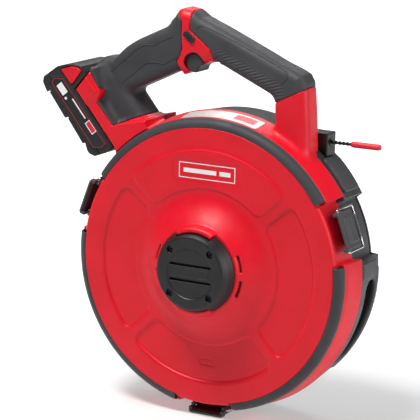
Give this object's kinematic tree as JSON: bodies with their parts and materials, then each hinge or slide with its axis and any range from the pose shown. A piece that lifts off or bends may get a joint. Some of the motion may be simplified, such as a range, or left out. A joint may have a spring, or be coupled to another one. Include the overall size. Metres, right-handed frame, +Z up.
{
  "type": "fish tape reel",
  "caption": "Battery-powered fish tape reel: round red base with a D handle, hub motor and battery foot, and a grey tape cartridge held behind it by wire latches.",
  "frame": {"origin": "drum axis on the flat rear face of the cartridge", "axes": "+Y out of the rear face along the drum axis, +Z up towards the handle, +X towards the side where the tape leaves"},
  "size_m": [0.4055, 0.141, 0.4664],
  "materials": {
    "red_plastic": "satin",
    "grey_plastic": "satin",
    "black_plastic": "satin",
    "rubber": "matte",
    "bright_steel": "polished",
    "plain_steel": "satin",
    "tape_steel": "satin",
    "label_foil": "satin",
    "copper_winding": "satin",
    "bronze": "satin",
    "cable_jacket": "satin",
    "board_green": "satin",
    "cell_sleeve": "satin"
  },
  "bodies": {
    "base": {"front_face": "red_plastic", "hub_shell": "red_plastic", "rim_wall": "red_plastic", "latch_ears": "red_plastic", "back_plate": "grey_plastic", "bumper_top": "rubber", "bumper_left": "rubber", "bumper_right": "rubber", "label_plate": "label_foil", "hub_cap": "grey_plastic", "handle_front": "red_plastic", "handle_rear": "red_plastic", "grip_cover": "rubber", "bar_cover": "rubber", "switch_body": "black_plastic", "control_board": "board_green", "terminal_block": "black_plastic", "gear_case": "grey_plastic", "stator": "copper_winding", "motor_plate": "plain_steel", "bearings": "plain_steel", "ring_gear": "plain_steel", "latch_pins": "bright_steel", "cartridge_shell": "grey_plastic", "cartridge_sides": "grey_plastic", "cartridge_keepers": "grey_plastic", "cartridge_cover": "grey_plastic", "exit_plate": "grey_plastic", "tape_guide": "black_plastic", "guide_bush": "bright_steel", "spindle": "plain_steel", "spindle_clip": "plain_steel", "screws": "plain_steel"},
    "reel": {"reel_core": "black_plastic", "reel_bush": "bronze", "reel_flanges": "black_plastic", "tape_coil": "tape_steel"},
    "leader": {"leader_cable": "cable_jacket", "leader_tip": "red_plastic", "tape_end": "tape_steel"},
    "carrier": {"carrier": "plain_steel"},
    "planet_1": {"planet_1": "plain_steel"},
    "planet_2": {"planet_2": "plain_steel"},
    "planet_3": {"planet_3": "plain_steel"},
    "rotor": {"rotor": "plain_steel", "fan": "black_plastic"},
    "trigger": {"trigger": "grey_plastic"},
    "selector": {"selector": "grey_plastic"},
    "pack": {"pack_base": "grey_plastic", "pack_top": "black_plastic", "pack_cells": "cell_sleeve", "pack_board": "board_green"},
    "button_front": {"button_front": "red_plastic"},
    "button_rear": {"button_rear": "red_plastic"},
    "lever_right": {"lever_right": "grey_plastic"},
    "bail_right": {"bail_right": "bright_steel"},
    "lever_left": {"lever_left": "grey_plastic"},
    "bail_left": {"bail_left": "bright_steel"},
    "lever_bottom": {"lever_bottom": "grey_plastic"},
    "bail_bottom": {"bail_bottom": "bright_steel"}
  },
  "joints": [
    {"name": "reel_spin", "type": "hinge", "parent": "base", "child": "reel", "pos_m": [0, -0.03, 0], "axis": [0, 1, 0], "continuous": true},
    {"name": "carrier_spin", "type": "hinge", "parent": "base", "child": "carrier", "pos_m": [0, -0.06, 0], "axis": [0, 1, 0], "continuous": true},
    {"name": "rotor_spin", "type": "hinge", "parent": "base", "child": "rotor", "pos_m": [0, -0.1, 0], "axis": [0, 1, 0], "continuous": true},
    {"name": "planet_spin_1", "type": "hinge", "parent": "carrier", "child": "planet_1", "pos_m": [0.024, -0.074, 0], "axis": [0, 1, 0], "continuous": true},
    {"name": "planet_spin_2", "type": "hinge", "parent": "carrier", "child": "planet_2", "pos_m": [-0.012, -0.074, 0.02079], "axis": [0, 1, 0], "continuous": true},
    {"name": "planet_spin_3", "type": "hinge", "parent": "carrier", "child": "planet_3", "pos_m": [-0.012, -0.074, -0.02079], "axis": [0, 1, 0], "continuous": true},
    {"name": "leader_slide", "type": "slide", "parent": "base", "child": "leader", "axis": [1, 0, 0], "range_m": [0, 0.05]},
    {"name": "trigger_pull", "type": "slide", "parent": "base", "child": "trigger", "axis": [-0.5105, 0, 0.8599], "range_m": [0, 0.006], "stiffness_N_per_m": 500, "springref_m": -0.005},
    {"name": "selector_shift", "type": "slide", "parent": "base", "child": "selector", "axis": [0, 1, 0], "range_m": [-0.003, 0.003]},
    {"name": "lever_right_open", "type": "hinge", "parent": "base", "child": "lever_right", "pos_m": [0.15928, -0.064, 0.05797], "axis": [-0.342, 0, 0.9397], "range_deg": [0, 105]},
    {"name": "bail_right_swing", "type": "hinge", "parent": "lever_right", "child": "bail_right", "pos_m": [0.16116, -0.085, 0.05866], "axis": [-0.342, 0, 0.9397], "range_deg": [-105, 0]},
    {"name": "lever_left_open", "type": "hinge", "parent": "base", "child": "lever_left", "pos_m": [-0.15928, -0.064, 0.05797], "axis": [-0.342, 0, -0.9397], "range_deg": [0, 105]},
    {"name": "bail_left_swing", "type": "hinge", "parent": "lever_left", "child": "bail_left", "pos_m": [-0.16116, -0.085, 0.05866], "axis": [-0.342, 0, -0.9397], "range_deg": [-105, 0]},
    {"name": "lever_bottom_open", "type": "hinge", "parent": "base", "child": "lever_bottom", "pos_m": [0, -0.064, -0.1695], "axis": [1, 0, 0], "range_deg": [0, 105]},
    {"name": "bail_bottom_swing", "type": "hinge", "parent": "lever_bottom", "child": "bail_bottom", "pos_m": [0, -0.085, -0.1715], "axis": [1, 0, 0], "range_deg": [-105, 0]},
    {"name": "pack_slide", "type": "slide", "parent": "base", "child": "pack", "axis": [-0.6361, 0, 0.7716], "range_m": [0, 0.12]},
    {"name": "button_front_press", "type": "slide", "parent": "pack", "child": "button_front", "axis": [0, 1, 0], "range_m": [0, 0.003], "stiffness_N_per_m": 400, "springref_m": -0.004},
    {"name": "button_rear_press", "type": "slide", "parent": "pack", "child": "button_rear", "axis": [0, -1, 0], "range_m": [0, 0.003], "stiffness_N_per_m": 400, "springref_m": -0.004}
  ],
  "couplings": [
    {"joint": "carrier_spin", "follows": "reel_spin", "ratio": 1},
    {"joint": "rotor_spin", "follows": "reel_spin", "ratio": 4},
    {"joint": "planet_spin_1", "follows": "reel_spin", "ratio": -3},
    {"joint": "planet_spin_2", "follows": "reel_spin", "ratio": -3},
    {"joint": "planet_spin_3", "follows": "reel_spin", "ratio": -3},
    {"joint": "bail_right_swing", "follows": "lever_right_open", "ratio": -1},
    {"joint": "bail_left_swing", "follows": "lever_left_open", "ratio": -1},
    {"joint": "bail_bottom_swing", "follows": "lever_bottom_open", "ratio": -1}
  ]
}
